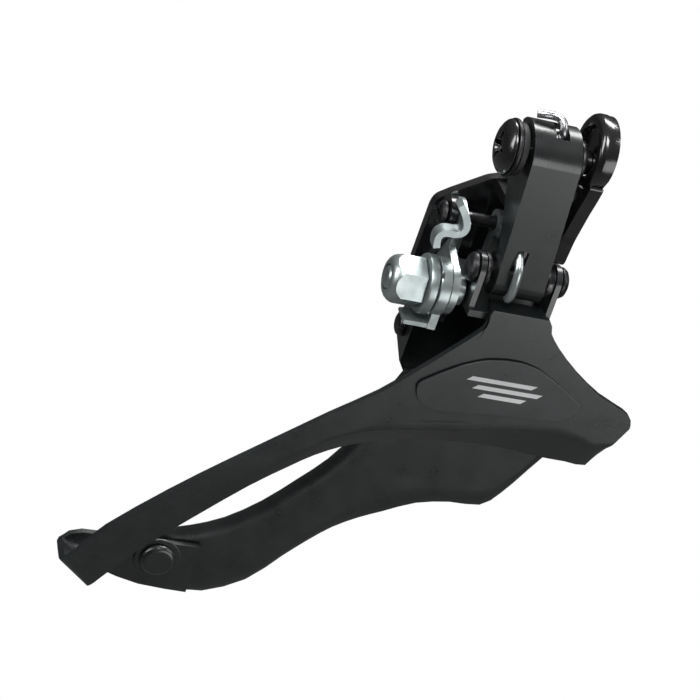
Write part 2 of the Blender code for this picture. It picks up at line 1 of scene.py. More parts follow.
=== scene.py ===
# Looks of the front derailleur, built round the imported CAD.
import bpy
import bmesh
import math
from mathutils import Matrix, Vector

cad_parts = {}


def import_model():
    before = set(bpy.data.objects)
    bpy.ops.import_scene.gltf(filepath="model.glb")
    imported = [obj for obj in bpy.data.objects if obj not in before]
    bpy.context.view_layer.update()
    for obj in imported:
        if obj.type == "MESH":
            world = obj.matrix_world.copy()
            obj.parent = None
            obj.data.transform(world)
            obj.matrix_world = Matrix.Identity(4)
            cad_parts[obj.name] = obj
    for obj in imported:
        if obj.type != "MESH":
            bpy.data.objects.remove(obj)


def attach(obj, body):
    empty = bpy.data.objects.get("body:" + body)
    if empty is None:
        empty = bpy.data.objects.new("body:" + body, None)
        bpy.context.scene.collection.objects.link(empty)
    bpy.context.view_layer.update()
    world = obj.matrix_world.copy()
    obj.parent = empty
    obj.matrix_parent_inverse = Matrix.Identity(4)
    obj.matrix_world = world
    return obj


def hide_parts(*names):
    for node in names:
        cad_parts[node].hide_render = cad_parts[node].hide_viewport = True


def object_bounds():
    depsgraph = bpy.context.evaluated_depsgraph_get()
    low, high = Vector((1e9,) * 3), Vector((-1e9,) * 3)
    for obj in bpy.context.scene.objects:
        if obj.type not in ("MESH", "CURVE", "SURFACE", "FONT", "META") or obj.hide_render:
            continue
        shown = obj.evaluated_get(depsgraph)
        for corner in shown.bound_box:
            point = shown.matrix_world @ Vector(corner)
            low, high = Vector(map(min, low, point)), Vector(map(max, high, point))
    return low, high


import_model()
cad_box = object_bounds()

# Millimetre positions below are measured from U, the centre of the upper outer pivot; the seat
# face's centre, the model's origin, lies at SEAT in those numbers. X forward, Y inboard, Z up.
SEAT = Vector((4.0, 24.0, -33.0))
MM = 0.001
L_Y, L_Z = 0.0, -28.0          # outer lower pivot
I_Y, I_Z = 11.5, -22.5         # inner upper pivot
J_Y, J_Z = 11.5, -50.5         # inner lower pivot
ANCHOR = (2.0, -35.0)          # cable anchor axis
TAIL = (-55.7, -114.6)         # tail rivet (x, z)
LINK_SIDES = ((-8.7, -6.2), (1.9, 4.9))  # rear and front of the outer link, at its two pivots
EYE_R, EYE_Z = 7.8, 2.8        # bracket eye: radius, and its centre above the pivot
SCREWS = ((-2.4, 8.3), (1.6, 12.8))  # high and low limit screws (x, y)
SEAT_END, SEAT_R = 6.0, 6.5    # seat block: from its centre to its round ends, and their radius
SEAT_HOLE = 5.0                # from its centre to its two screw holes
RIVET_X, RIVET_Z = 6.0, -63.0  # the pivot bracket's two rivets, at -RIVET_X and RIVET_X
PLATE = 1.5                    # thickness of the cage plates
UPPER_BORE, LOWER_BORE = 2.75, 2.15    # radii of the holes on the outer link's two pivots
INNER_BORE, FOOT_BORE = 1.65, 2.3      # and on the inner link's two pivots
TAIL_BORE, RIVET_BORE = 1.95, 1.75
SEAT_BORE, SCREW_BORE, STUD_BORE = 2.15, 2.3, 2.8
FLOOR_Z = -0.60                # metres: far below the part, and white to the camera
ROOM_LIGHT = 0.22
scene = bpy.context.scene


def world(p):
    return (Vector(p) - SEAT) * MM


# ---------------------------------------------------------------- materials
class Nodes:
    """A Principled material being wired up."""

    def __init__(self, name):
        self.mat = bpy.data.materials.new(name)
        self.mat.use_nodes = True
        self.tree = self.mat.node_tree
        self.bsdf = self.tree.nodes["Principled BSDF"]
        self.coord = self.add("ShaderNodeTexCoord").outputs["Object"]

    def add(self, kind, **settings):
        n = self.tree.nodes.new(kind)
        for k, v in settings.items():
            setattr(n, k, v)
        return n

    def link(self, a, b):
        self.tree.links.new(a, b)

    def stretched(self, scale):
        m = self.add("ShaderNodeMapping")
        m.inputs["Scale"].default_value = scale
        self.link(self.coord, m.inputs["Vector"])
        return m.outputs["Vector"]

    def noise(self, scale, detail=3.0, rough=0.55, vector=None):
        n = self.add("ShaderNodeTexNoise")
        n.inputs["Scale"].default_value = scale
        n.inputs["Detail"].default_value = detail
        n.inputs["Roughness"].default_value = rough
        self.link(vector or self.coord, n.inputs["Vector"])
        return n.outputs["Fac"]

    def ramp(self, fac, stops):
        r = self.add("ShaderNodeValToRGB")
        e = r.color_ramp.elements
        while len(e) < len(stops):
            e.new(0.5)
        for el, (pos, col) in zip(e, stops):
            el.position = pos
            el.color = col if isinstance(col, tuple) else (col, col, col, 1)
        self.link(fac, r.inputs["Fac"])
        return r.outputs["Color"]

    def feed(self, *pairs):
        """Links an output to its socket, or sets the socket to a plain value."""
        for value, socket in pairs:
            if hasattr(value, "is_linked"):
                self.link(value, socket)
            else:
                socket.default_value = value

    def mix(self, fac, a, b):
        m = self.add("ShaderNodeMix", data_type="RGBA")
        self.feed((fac, m.inputs[0]), (a, m.inputs[6]), (b, m.inputs[7]))
        return m.outputs[2]

    def math(self, how, a, b):
        m = self.add("ShaderNodeMath", operation=how, use_clamp=True)
        self.feed((a, m.inputs[0]), (b, m.inputs[1]))
        return m.outputs[0]

    def bump(self, heights):
        """A chain of bumps: (height output, distance in metres, strength)."""
        last = None
        for h, dist, strength in heights:
            b = self.add("ShaderNodeBump")
            b.inputs["Distance"].default_value = dist
            b.inputs["Strength"].default_value = strength
            self.link(h, b.inputs["Height"])
            if last:
                self.link(last, b.inputs["Normal"])
            last = b.outputs["Normal"]
        self.link(last, self.bsdf.inputs["Normal"])

    def surface(self, col, rough):
        self.link(col, self.bsdf.inputs["Base Color"])
        self.link(rough, self.bsdf.inputs["Roughness"])

    def set(self, **values):
        for k, v in values.items():
            self.bsdf.inputs[k.replace("_", " ")].default_value = v


def rgb(r, g, b):
    return (r, g, b, 1.0)


def painted(name, base, light, rough_lo, rough_hi, coat, wear):
    """Black stove paint on steel: soft mottling, fine orange peel, dust, rubbed wear; its lighter edge copies
    also carry a painted highlight.
    """
    n = Nodes(name)
    cloud = n.noise(70.0, 4.0, 0.6)
    speck = n.noise(2600.0, 2.0, 0.6)
    col = n.mix(n.ramp(cloud, [(0.35, 0.0), (0.68, 1.0)]), base, light)
    dust = n.ramp(speck, [(0.66, 0.0), (0.76, 1.0)])
    col = n.mix(n.math("MULTIPLY", dust, 0.35), col, rgb(0.16, 0.165, 0.17))
    lines = n.noise(260.0, 6.0, 0.75, n.stretched((0.5, 1.0, 6.0)))
    scratch = n.ramp(lines, [(0.66, 0.0), (0.70, 1.0)])
    worn = n.math("MULTIPLY", n.ramp(n.noise(420.0, 5.0), [(0.42, 0.0), (0.6, 1.0)]), wear)
    col = n.mix(n.math("MULTIPLY", scratch, 0.22), col, rgb(0.15, 0.155, 0.16))
    col = n.mix(worn, col, rgb(0.30, 0.31, 0.32))
    n.surface(col, n.ramp(n.noise(160.0, 5.0, 0.62), [(0.3, rough_lo), (0.72, rough_hi)]))
    n.bump([(n.noise(1500.0, 2.0), 0.00004, 0.16), (scratch, 0.00002, 0.2)])
    n.set(Metallic=0.0, Specular_IOR_Level=0.85, Coat_Weight=coat, Coat_Roughness=0.16)
    return n.mat


def plated(name, base, tint, rough_lo, rough_hi, grain, metal=1.0):
    """Bright zinc or bare steel: cloudy plating, fine tool lines, grime in random patches."""
    n = Nodes(name)
    cloud = n.noise(110.0, 5.0, 0.6)
    col = n.mix(n.ramp(cloud, [(0.3, 0.0), (0.7, 1.0)]), base, tint)
    grime = n.math("MULTIPLY", n.ramp(n.noise(190.0, 6.0, 0.7), [(0.56, 0.0), (0.74, 1.0)]), 0.5)
    col = n.mix(grime, col, rgb(0.16, 0.15, 0.13))
    lines = n.noise(900.0, 3.0, 0.6, n.stretched(grain))
    n.surface(col, n.ramp(n.noise(300.0, 5.0, 0.65), [(0.3, rough_lo), (0.75, rough_hi)]))
    n.bump([(lines, 0.00003, 0.14), (cloud, 0.0002, 0.05)])
    n.set(Metallic=metal)
    return n.mat


def dark_metal(name, base, light, rough_lo, rough_hi):
    n = Nodes(name)
    col = n.mix(n.ramp(n.noise(240.0, 5.0), [(0.35, 0.0), (0.7, 1.0)]), base, light)
    worn = n.math("MULTIPLY", n.ramp(n.noise(500.0, 5.0), [(0.58, 0.0), (0.7, 1.0)]), 0.5)
    col = n.mix(worn, col, rgb(0.42, 0.42, 0.42))
    n.surface(col, n.ramp(n.noise(400.0, 4.0), [(0.3, rough_lo), (0.7, rough_hi)]))
    n.bump([(n.noise(1700.0, 2.0), 0.00003, 0.15)])
    n.set(Metallic=0.85)
    return n.mat


def nylon(name):
    n = Nodes(name)
    col = n.mix(n.noise(500.0, 3.0), rgb(0.012, 0.012, 0.013), rgb(0.03, 0.03, 0.032))
    n.surface(col, n.ramp(n.noise(900.0, 3.0), [(0.3, 0.45), (0.7, 0.62)]))
    n.bump([(n.noise(2500.0, 2.0), 0.00003, 0.2)])
    return n.mat


BLACK = painted("satin_black_paint",
                rgb(0.006, 0.0078, 0.0082), rgb(0.011, 0.0140, 0.0146), 0.26, 0.38, 0.45, 0.0)
# Lighter copies of the paint for the bevelled edges: partly rubbed wear, partly a painted highlight along
# every edge.
BLACK_WORN_LIT_EDGE = painted("satin_black_edge_wear_and_painted_highlight",
                     rgb(0.05, 0.056, 0.058), rgb(0.09, 0.098, 0.10), 0.26, 0.4, 0.3, 0.7)
GLOSS = painted("gloss_black_paint",
                rgb(0.005, 0.005, 0.006), rgb(0.009, 0.009, 0.010), 0.13, 0.26, 0.6, 0.0)
GLOSS_WORN_LIT_EDGE = painted("gloss_black_edge_wear_and_painted_highlight",
                     rgb(0.02, 0.02, 0.022), rgb(0.035, 0.035, 0.037), 0.2, 0.34, 0.4, 0.35)
ZINC = plated("bright_zinc",
              rgb(0.56, 0.62, 0.615), rgb(0.40, 0.46, 0.46), 0.26, 0.44, (0.15, 1.0, 1.0), 0.85)
STEEL = plated("plain_steel", rgb(0.60, 0.61, 0.62), rgb(0.48, 0.49, 0.50), 0.22, 0.42, (1.0, 0.2, 1.0))
DARK = dark_metal("black_oxide", rgb(0.035, 0.035, 0.037), rgb(0.075, 0.075, 0.08), 0.28, 0.5)
NYLON = nylon("black_nylon")
PRINT = painted("pale_print", rgb(0.55, 0.57, 0.57), rgb(0.70, 0.72, 0.72), 0.40, 0.55, 0.0, 0.0)
LABEL = painted("label_film", rgb(0.008, 0.0115, 0.0122), rgb(0.013, 0.0175, 0.0185), 0.26, 0.38, 0.45, 0.0)


# ---------------------------------------------------------------- mesh helpers
def place(axis, h, a, b):
    return {"x": (h, a, b), "y": (a, h, b), "z": (a, b, h)}[axis]


def circle(cy, cz, r, n=48, start=0.0, turn=360.0):
    k = n if turn >= 360 else n + 1
    return [(cy + r * math.cos(math.radians(start + turn * i / n)),
             cz + r * math.sin(math.radians(start + turn * i / n))) for i in range(k)]


def hull(points):
    pts = sorted(set((round(a, 5), round(b, 5)) for a, b in points))

    def half(seq):
        out = []
        for p in seq:
            while len(out) > 1 and ((out[-1][0] - out[-2][0]) * (p[1] - out[-2][1])
                                    - (out[-1][1] - out[-2][1]) * (p[0] - out[-2][0])) <= 1e-9:
                out.pop()
            out.append(p)
        return out[:-1]
    return half(pts) + half(reversed(pts))


def rounded(points, radius=1.0, steps=4):
    """An outline with its corners rounded."""
    out = []
    n = len(points)
    for i in range(n):
        a, p, b = (Vector(points[(i + k) % n]) for k in (-1, 0, 1))
        u, v = (a - p), (b - p)
        r = min(radius, u.length * 0.45, v.length * 0.45)
        s, e = p + u.normalized() * r, p + v.normalized() * r
        for k in range(steps + 1):
            t = k / steps
            out.append(tuple(s * (1 - t) ** 2 + p * 2 * t * (1 - t) + e * t * t))
    return out


def loft(bm, rings, closed=False):
    """Faces from ring to ring of vertices; the ends are capped unless the last ring meets the first."""
    pairs = list(zip(rings, rings[1:]))
    if closed:
        pairs.append((rings[-1], rings[0]))
    else:
        bm.faces.new(rings[0])
        bm.faces.new(rings[-1])
    for a, b in pairs:
        for i in range(len(a)):
            j = (i + 1) % len(a)
            bm.faces.new((a[i], a[j], b[j], b[i]))


def prism(axis, pts, lo, hi):
    def build(bm):
        loft(bm, [[bm.verts.new(place(axis, h, a, b)) for a, b in pts] for h in (lo, hi)])
    return build


def box(x0, x1, y0, y1, z0, z1):
    return prism("x", [(y0, z0), (y1, z0), (y1, z1), (y0, z1)], x0, x1)


def ring(axis, h, c, r, n, spin=0.0):
    return [place(axis, h, c[0] + r * math.cos(math.radians(spin) + 2 * math.pi * i / n),
                  c[1] + r * math.sin(math.radians(spin) + 2 * math.pi * i / n)) for i in range(n)]


def turned(axis, c, profile, n=56, closed=False, spin=0.0):
    """A turned shape from (position along the axis, radius); closed makes it a hollow ring."""
    def build(bm):
        loft(bm, [[bm.verts.new(p) for p in ring(axis, h, c, r, n, spin)] for h, r in profile], closed)
    return build


def tube(axis, c, lo, hi, inner, outer, edge=0.3):
    k = edge * 0.3
    return turned(axis, c, [(lo, inner), (lo, outer - edge), (lo + k, outer - k), (lo + edge, outer),
                            (hi - edge, outer), (hi - k, outer - k), (hi, outer - edge), (hi, inner)],
                  closed=True)


def hole(axis, c, r, lo, hi):
    return turned(axis, c, [(lo, r), (hi, r)], 40)


def wire(path, r, n=14):
    def build(bm):
        pts = [Vector(p) for p in path]
        side, rings = None, []
        for i, p in enumerate(pts):
            t = (pts[min(i + 1, len(pts) - 1)] - pts[max(i - 1, 0)]).normalized()
            side = t.orthogonal().normalized() if side is None else (side - t * side.dot(t)).normalized()
            other = t.cross(side)
            rings.append([bm.verts.new(p + (side * math.cos(2 * math.pi * k / n)
                                            + other * math.sin(2 * math.pi * k / n)) * r) for k in range(n)])
        loft(bm, rings)
    return build


def smooth_path(points, steps):
    """A rounder path through the same points (Catmull-Rom)."""
    pts = [Vector(p) for p in points]
    out = []
    for i in range(len(pts) - 1):
        p0, p1, p2, p3 = pts[max(i - 1, 0)], pts[i], pts[i + 1], pts[min(i + 2, len(pts) - 1)]
        for k in range(steps):
            t = k / steps
            out.append(0.5 * ((2 * p1) + (p2 - p0) * t + (2 * p0 - 5 * p1 + 4 * p2 - p3) * t * t
                              + (3 * p1 - p0 - 3 * p2 + p3) * t ** 3))
    out.append(pts[-1])
    return out


def sheet(rows, thick):
    """A pressed sheet: rows of points thickened to one side along the surface's own normals."""
    def build(bm):
        nr, nc = len(rows), len(rows[0])
        grid = [[Vector(p) for p in row] for row in rows]
        near = [[[] for _ in range(nc)] for _ in range(nr)]
        for r in range(nr - 1):
            for c in range(nc - 1):
                n = (grid[r + 1][c + 1] - grid[r][c]).cross(grid[r + 1][c] - grid[r][c + 1])
                if n.length > 1e-7:
                    n.normalize()
                    for rr, cc in ((r, c), (r, c + 1), (r + 1, c + 1), (r + 1, c)):
                        near[rr][cc].append(n)
        top, low = [], []
        for r in range(nr):
            top.append([])
            low.append([])
            for c in range(nc):
                n = sum(near[r][c], Vector()).normalized()
                k = max(0.7, min(n.dot(m) for m in near[r][c]))
                top[r].append(bm.verts.new(grid[r][c]))
                low[r].append(bm.verts.new(grid[r][c] + n * (thick / k)))
        for r in range(nr - 1):
            for c in range(nc - 1):
                for g in (top, low):
                    bm.faces.new((g[r][c], g[r][c + 1], g[r + 1][c + 1], g[r + 1][c]))
        for r in range(nr - 1):
            for c in (0, nc - 1):
                bm.faces.new((top[r][c], top[r + 1][c], low[r + 1][c], low[r][c]))
        for c in range(nc - 1):
            for r in (0, nr - 1):
                bm.faces.new((top[r][c], top[r][c + 1], low[r][c + 1], low[r][c]))
    return build


def to_mesh(build, name):
    bm = bmesh.new()
    build(bm)
    bmesh.ops.remove_doubles(bm, verts=bm.verts, dist=0.0004)
    bmesh.ops.recalc_face_normals(bm, faces=bm.faces)
    for v in bm.verts:
        v.co = world(v.co)
    me = bpy.data.meshes.new(name)
    bm.to_mesh(me)
    bm.free()
    ob = bpy.data.objects.new(name, me)
    scene.collection.objects.link(ob)
    return ob


def settle(ob):
    """Applies every modifier."""
    done = bpy.data.meshes.new_from_object(ob.evaluated_get(bpy.context.evaluated_depsgraph_get()))
    ob.modifiers.clear()
    ob.data = done
    return ob


def keep_inside(me, cad):
    """Hold a mesh to within 0.1 mm of its CAD solid's own box, and inside the whole part's box."""
    corners = [cad.matrix_world @ v.co for v in cad.data.vertices]
    for i in range(3):
        lo = max(min(c[i] for c in corners) - 0.1 * MM, cad_box[0][i])
        hi = min(max(c[i] for c in corners) + 0.1 * MM, cad_box[1][i])
        for v in me.vertices:
            v.co[i] = min(max(v.co[i], lo), hi)


def piece(name, body, node, mat, build, joins=(), cuts=(), bevel=0.22, segments=2, angle=32.0):
    ob = to_mesh(build, name)
    tools = []
    for how, group in (("UNION", joins), ("DIFFERENCE", cuts)):
        for b in group:
            t = to_mesh(b, "tool")
            m = ob.modifiers.new("b", "BOOLEAN")
            m.operation, m.solver, m.object = how, "EXACT", t
            tools.append(t)
    if tools:
        bpy.context.view_layer.update()
        settle(ob)
        for t in tools:
            bpy.data.objects.remove(t, do_unlink=True)
    # Bevel faces take the lighter edge copy of the paint: worn edges and a painted edge highlight.
    edge_wear_and_highlight_mat = {BLACK: BLACK_WORN_LIT_EDGE, GLOSS: GLOSS_WORN_LIT_EDGE}.get(mat)
    mats = [mat] + ([edge_wear_and_highlight_mat] if edge_wear_and_highlight_mat else [])
    ob.data.materials.clear()
    for each in mats:
        ob.data.materials.append(each)
    bm = bmesh.new()
    bm.from_mesh(ob.data)
    bmesh.ops.remove_doubles(bm, verts=bm.verts, dist=1e-6)
    bmesh.ops.dissolve_limit(bm, angle_limit=math.radians(0.6), verts=bm.verts, edges=bm.edges)
    bm.to_mesh(ob.data)
    bm.free()
    if bevel:
        m = ob.modifiers.new("edge", "BEVEL")
        m.width, m.segments, m.limit_method = bevel * MM, segments, "ANGLE"
        m.angle_limit, m.use_clamp_overlap, m.miter_outer = math.radians(angle), True, "MITER_ARC"
        m.material = 1 if edge_wear_and_highlight_mat else -1
        bpy.context.view_layer.update()
        settle(ob)
    me = ob.data
    if node:
        keep_inside(me, bpy.data.objects[node])
    for p in me.polygons:
        p.use_smooth = True
    me.set_sharp_from_angle(angle=math.radians(38))
    m = ob.modifiers.new("normals", "WEIGHTED_NORMAL")
    m.keep_sharp = True
    bpy.context.view_layer.update()
    settle(ob)
    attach(ob, body)
    if node:
        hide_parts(node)
    return ob


# ---------------------------------------------------------------- body
def body():
    arm = circle(0, EYE_Z, EYE_R, 40, 40, 160)
    arm += rounded([(-6.9, -2.0), (-6.0, -5.4), (-4.7, -9.4), (-2.9, -16.5), (-2.4, -22.2), (-1.4, -23.2),
                    (6.0, -24.4), (15.0, -27.6), (18.5, -27.6), (18.5, -14.0), (15.5, -8.0)], 1.0)
    eye = turned("x", (0, EYE_Z), [(4.2, 6.0), (4.22, 6.6), (4.5, 7.25), (5.0, 7.75), (5.6, 7.95),
                                   (6.8, 7.95), (7.4, 7.75), (7.9, 7.25), (8.18, 6.6), (8.2, 6.0)], 80)
    dish = turned("x", (0, EYE_Z), [(3.0, 6.1), (4.15, 5.9), (4.5, 5.45), (5.0, 5.2), (5.6, 4.9)], 72)
    front = turned("x", (0, EYE_Z), [(6.9, 4.9), (7.6, 5.2), (8.1, 5.6), (8.3, 5.9), (9.0, 6.1)], 72)
    back = rounded([(7.6, -14.2), (7.6, -41.0), (-17.2, -41.0), (-17.2, -23.4), (-16.6, -21.6),
                    (-14.0, -19.6), (-6.7, -14.7), (-3.0, -13.5), (4.0, -13.3)], 1.0)
    flange = hull(circle(I_Y, I_Z, 4.0) + [(18.2, -22.0), (18.2, -38.0), (15.6, -38.0)])
    seat = hull(circle(SEAT.x - SEAT_END, SEAT.z, SEAT_R) + circle(SEAT.x + SEAT_END, SEAT.z, SEAT_R))
    holes = [hole("y", (SEAT.x + x, SEAT.z), SEAT_BORE, 14.0, 26.0) for x in (-SEAT_HOLE, SEAT_HOLE)]
    holes += [hole("x", (0, 0), UPPER_BORE, 3.0, 14.0), hole("x", (I_Y, I_Z), INNER_BORE, -17.0, -13.0),
              hole("x", (I_Y, I_Z), INNER_BORE, 4.0, 14.0)]
    holes += [hole("z", c, SCREW_BORE, -18.0, -13.0) for c in SCREWS]
    piece("bracket", "body", "body_bracket", GLOSS, prism("x", arm, 5.2, 8.1),
          [eye, prism("y", back, 16.0, 18.5), prism("x", flange, -15.6, -14.1),
           prism("z", rounded([(-5.2, 5.3), (5.6, 5.3), (5.6, 17.0), (-5.2, 17.0)], 0.8), -16.8, -14.6),
           prism("y", seat, 18.0, SEAT.y)], [dish, front] + holes, bevel=0.3)
    # upper pivot hardware
    star = [prism("x", [(-3.0, -0.5), (3.0, -0.5), (3.0, 0.5), (-3.0, 0.5)], -16.0, -12.9),
            prism("x", [(-0.5, -3.0), (0.5, -3.0), (0.5, 3.0), (-0.5, 3.0)], -16.0, -12.9),
            turned("x", (0, 0), [(-16.0, 2.1), (-14.3, 1.75), (-13.2, 1.1)], 24)]
    piece("pivot_bolt", "body", "upper_pivot_bolt", GLOSS, turned(
        "x", (0, 0), [(-14.4, 1.5), (-14.36, 2.5), (-14.15, 3.5), (-13.75, 4.5), (-13.2, 5.3), (-12.75, 5.7),
                      (-12.45, 5.8), (-12.4, 5.7), (-12.4, 2.4), (7.3, 2.4), (7.65, 1.9)], 64),
          cuts=star, bevel=0.12)
    piece("pivot_washer", "body", "upper_pivot_washer", DARK,
          tube("x", (0, 0), -12.1, -11.2, 2.7, 6.1), bevel=0)
    piece("pivot_spacer", "body", "upper_pivot_spacer", NYLON,
          tube("x", (0, 0), -10.9, -9.6, 2.7, 5.5, 0.25), bevel=0)
    piece("pivot_bush", "body", "upper_pivot_bush", NYLON,
          tube("x", (0, 0), -6.7, -0.2, 2.7, 3.2, 0.1), bevel=0)
    piece("eye_spacer", "body", "eye_washer", DARK, tube("x", (0, 0), 2.75, 3.85, 2.7, 4.3), bevel=0)
    slots = [box(-18.0, -16.55, I_Y - w, I_Y + w, I_Z - h, I_Z + h) for w, h in ((1.7, 0.33), (0.33, 1.7))]
    piece("upper_pin", "body", "inner_upper_pin", DARK, turned(
        "x", (I_Y, I_Z), [(-17.1, 1.2), (-17.05, 1.8), (-16.8, 2.35), (-16.4, 2.65), (-16.0, 2.7),
                          (-15.9, 2.6), (-15.9, 1.35), (8.3, 1.35), (8.55, 1.1), (8.6, 0.8)], 40),
          cuts=slots, bevel=0)


# ---------------------------------------------------------------- outer link
def leaning(points, wall=0.0):
    """A prism across the link whose two sides lean forward towards its foot."""
    def build(bm):
        rings = []
        for (top, foot), inward in zip(LINK_SIDES, (wall, -wall)):
            rings.append([bm.verts.new((top + (foot - top) * z / L_Z + inward, y, z)) for y, z in points])
        loft(bm, rings)
    return build


def outer_arm():
    wall = 1.3
    shape = circle(0, 0, 6.8, 48, 42, 138) + circle(-0.5, L_Z, 4.8, 44, 180, 200)
    shape += smooth_path([(-1.6, -22.0), (1.4, -15.5), (4.4, -9.0), (5.0, -3.0), (5.05, 2.0)], 5)
    inside = hull(circle(0, 0, 6.8 - wall, 64) + circle(-0.5, L_Z, 4.8 - wall, 48)
                  + circle(20, 0, 6.8 - wall, 64) + circle(20, L_Z, 4.8 - wall, 48))
    slot = rounded([(-4.4, -25.4), (-1.6, -25.4), (-1.6, -19.6), (-4.4, -19.6)], 0.9)
    piece("link", "outer_arm", "outer_link", BLACK, leaning(shape),
          cuts=[leaning(inside, wall), prism("y", slot, -9.0, -2.0), box(-4.5, -1.5, -3.9, 1.2, 4.6, 9.0),
                hole("x", (0, 0), UPPER_BORE, -12.0, 9.0), hole("x", (L_Y, L_Z), LOWER_BORE, -12.0, 9.0)],
          bevel=0.4, segments=3)
    r, pitch, turns, x0, n = 4.35, -1.9, 2, -1.8, 40
    path = smooth_path([(-8.4, 0.8, 8.1), (-7.0, 0.5, 8.35), (-5.2, 0.3, 8.5), (-3.8, -0.2, 8.4),
                        (-3.1, -1.1, 7.8), (-2.9, -1.7, 6.8), (-2.6, -1.8, 5.8), (-2.2, -1.5, 4.9)], 6)
    for i in range(turns * n + 1):
        a = math.radians(98 - 360.0 * i / n)
        path.append((x0 + pitch * i / n, r * math.cos(a), r * math.sin(a)))
    piece("spring_coil", "outer_arm", "return_spring", STEEL, wire(path, 0.88), bevel=0)
    leg = [(-3.0, -2.6, -8.0), (-3.0, -3.0, -14.0), (-3.0, -3.2, -18.8), (-3.05, -3.7, -20.6),
           (-3.05, -5.2, -22.1), (-3.0, -6.5, -23.4), (-2.9, -7.0, -25.0), (-2.7, -6.9, -27.6),
           (-2.5, -6.4, -29.8), (-2.5, -5.4, -31.4)]
    piece("spring_foot", "outer_arm", "spring_leg", ZINC, wire(smooth_path(leg, 5), 0.93, 20), bevel=0.15)
    piece("lower_pin", "outer_arm", "lower_pivot_pin", DARK, turned(
        "x", (L_Y, L_Z), [(-11.3, 1.4), (-11.25, 2.1), (-10.9, 2.75), (-10.4, 3.15), (-9.9, 3.2), (-9.8, 3.1),
                          (-9.8, 1.85), (9.4, 1.85), (9.4, 3.4), (9.9, 3.4), (10.6, 3.0), (11.0, 2.3),
                          (11.05, 1.4)], 48), bevel=0)
    piece("link_washer_rear", "outer_arm", "lower_washer_rear", DARK,
          tube("x", (L_Y, L_Z), -8.0, -7.0, LOWER_BORE, 3.6, 0.2), bevel=0)
    piece("link_washer_front", "outer_arm", "lower_washer_front", DARK,
          tube("x", (L_Y, L_Z), 5.75, 7.4, LOWER_BORE, 3.7, 0.3), bevel=0)


# ---------------------------------------------------------------- cage
def refine(rows, steps):
    """More rows and columns between the given ones, smoothed, never outside their box."""
    every = [p for row in rows for p in row]
    lo = [min(p[i] for p in every) for i in range(3)]
    hi = [max(p[i] for p in every) for i in range(3)]
    rows = [smooth_path(row, 2) for row in rows]
    cols = [smooth_path([row[c] for row in rows], steps) for c in range(len(rows[0]))]
    cols = [[tuple(min(max(p[i], lo[i]), hi[i]) for i in range(3)) for p in col] for col in cols]
    return [[col[r] for col in cols] for r in range(len(cols[0]))]


def rivet_holes():
    return [hole("y", (x, RIVET_Z), RIVET_BORE, 2.0, 9.0) for x in (-RIVET_X, RIVET_X)]


def outer_plate():
    top = [(-77.0, -111.2), (-75.8, -109.4), (-71, -102.2), (-60, -90.8), (-50.2, -81.7), (-40.4, -73.1),
           (-31.6, -65.3), (-22.7, -57.9), (-15.8, -50.5), (-11.2, -45.3), (-5.9, -39), (-5.1, -36.3),
           (-5.0, -33.7), (1.4, -33.7), (7.8, -33.7), (9.3, -36.7), (12.9, -40.6), (18.6, -45.2),
           (25.6, -49.6), (32.6, -52.5), (34.9, -54.3), (35.5, -56.5)]
    bend = [(-74.0, -113.8), (-72.6, -111.8), (-67.0, -104.6), (-56.0, -93.2), (-46.2, -84.2), (-36.6, -76.0),
            (-30.0, -70.4), (-24.6, -67.4), (-20.2, -65.5), (-16.5, -64.4), (-12.5, -63.3), (-8.6, -62.4),
            (-4.2, -61.6), (-0.6, -61.0), (4.0, -60.0), (8.0, -59.4), (11.5, -59.0), (15.5, -58.7),
            (20.0, -58.8), (25.0, -59.9), (29.5, -61.2), (33.6, -60.6)]
    low = [(-69.9, -117.0), (-68.4, -114.8), (-62.0, -106.2), (-53.0, -96.2), (-43.5, -86.6), (-36.4, -80.6),
           (-31.4, -76.8), (-26.0, -73.8), (-21.6, -72.2), (-17.0, -70.8), (-12.5, -69.6), (-8.6, -68.9),
           (-5.0, -68.5), (-1.0, -68.2), (4.0, -67.9), (8.0, -68.0), (11.5, -68.2), (15.5, -68.5),
           (20.0, -68.8), (25.2, -68.9), (30.2, -69.0), (31.6, -65.0)]
    tail = [((-46.4, -110.6), (-46.8, -123.4), 3.7), ((-59.0, -110.8), (-58.0, -122.8), 3.7),
            ((-73.6, -110.9), (-67.6, -120.2), 3.7), ((-77.4, -112.6), (-70.4, -119.0), 3.0),
            ((-78.8, -113.4), (-71.4, -119.4), 1.4), ((-78.8, -113.2), (-71.4, -119.2), -5.0),
            ((-78.2, -112.6), (-70.9, -118.4), -6.5)]
    rows = [[], [], [], []]
    for t, b, y in tail:
        for k, f in enumerate((0.0, 0.42, 0.7, 1.0)):
            rows[k].append((t[0] + (b[0] - t[0]) * f, y, t[1] + (b[1] - t[1]) * f))
    for t, m, b in zip(top, bend, low):
        curl = 0.25 + 2.2 * min(1.0, max(0.0, (t[0] + 60.0) / 50.0))
        q = (m[0] * 0.62 + b[0] * 0.38, m[1] * 0.62 + b[1] * 0.38)
        for k, (p, y) in enumerate(((t, -7.0), (m, -7.0), (q, -7.0 + curl * 0.22), (b, -7.0 + curl))):
            rows[k].append((p[0], y, p[1]))
    piece("cage_outer", "cage", "cage_outer_plate", BLACK, sheet(refine(rows, 4), PLATE),
          [box(-4.8, 7.4, -6.2, -1.6, -35.2, -33.8)], [hole("y", TAIL, TAIL_BORE, 0.0, 6.0)],
          bevel=0.25, angle=40)


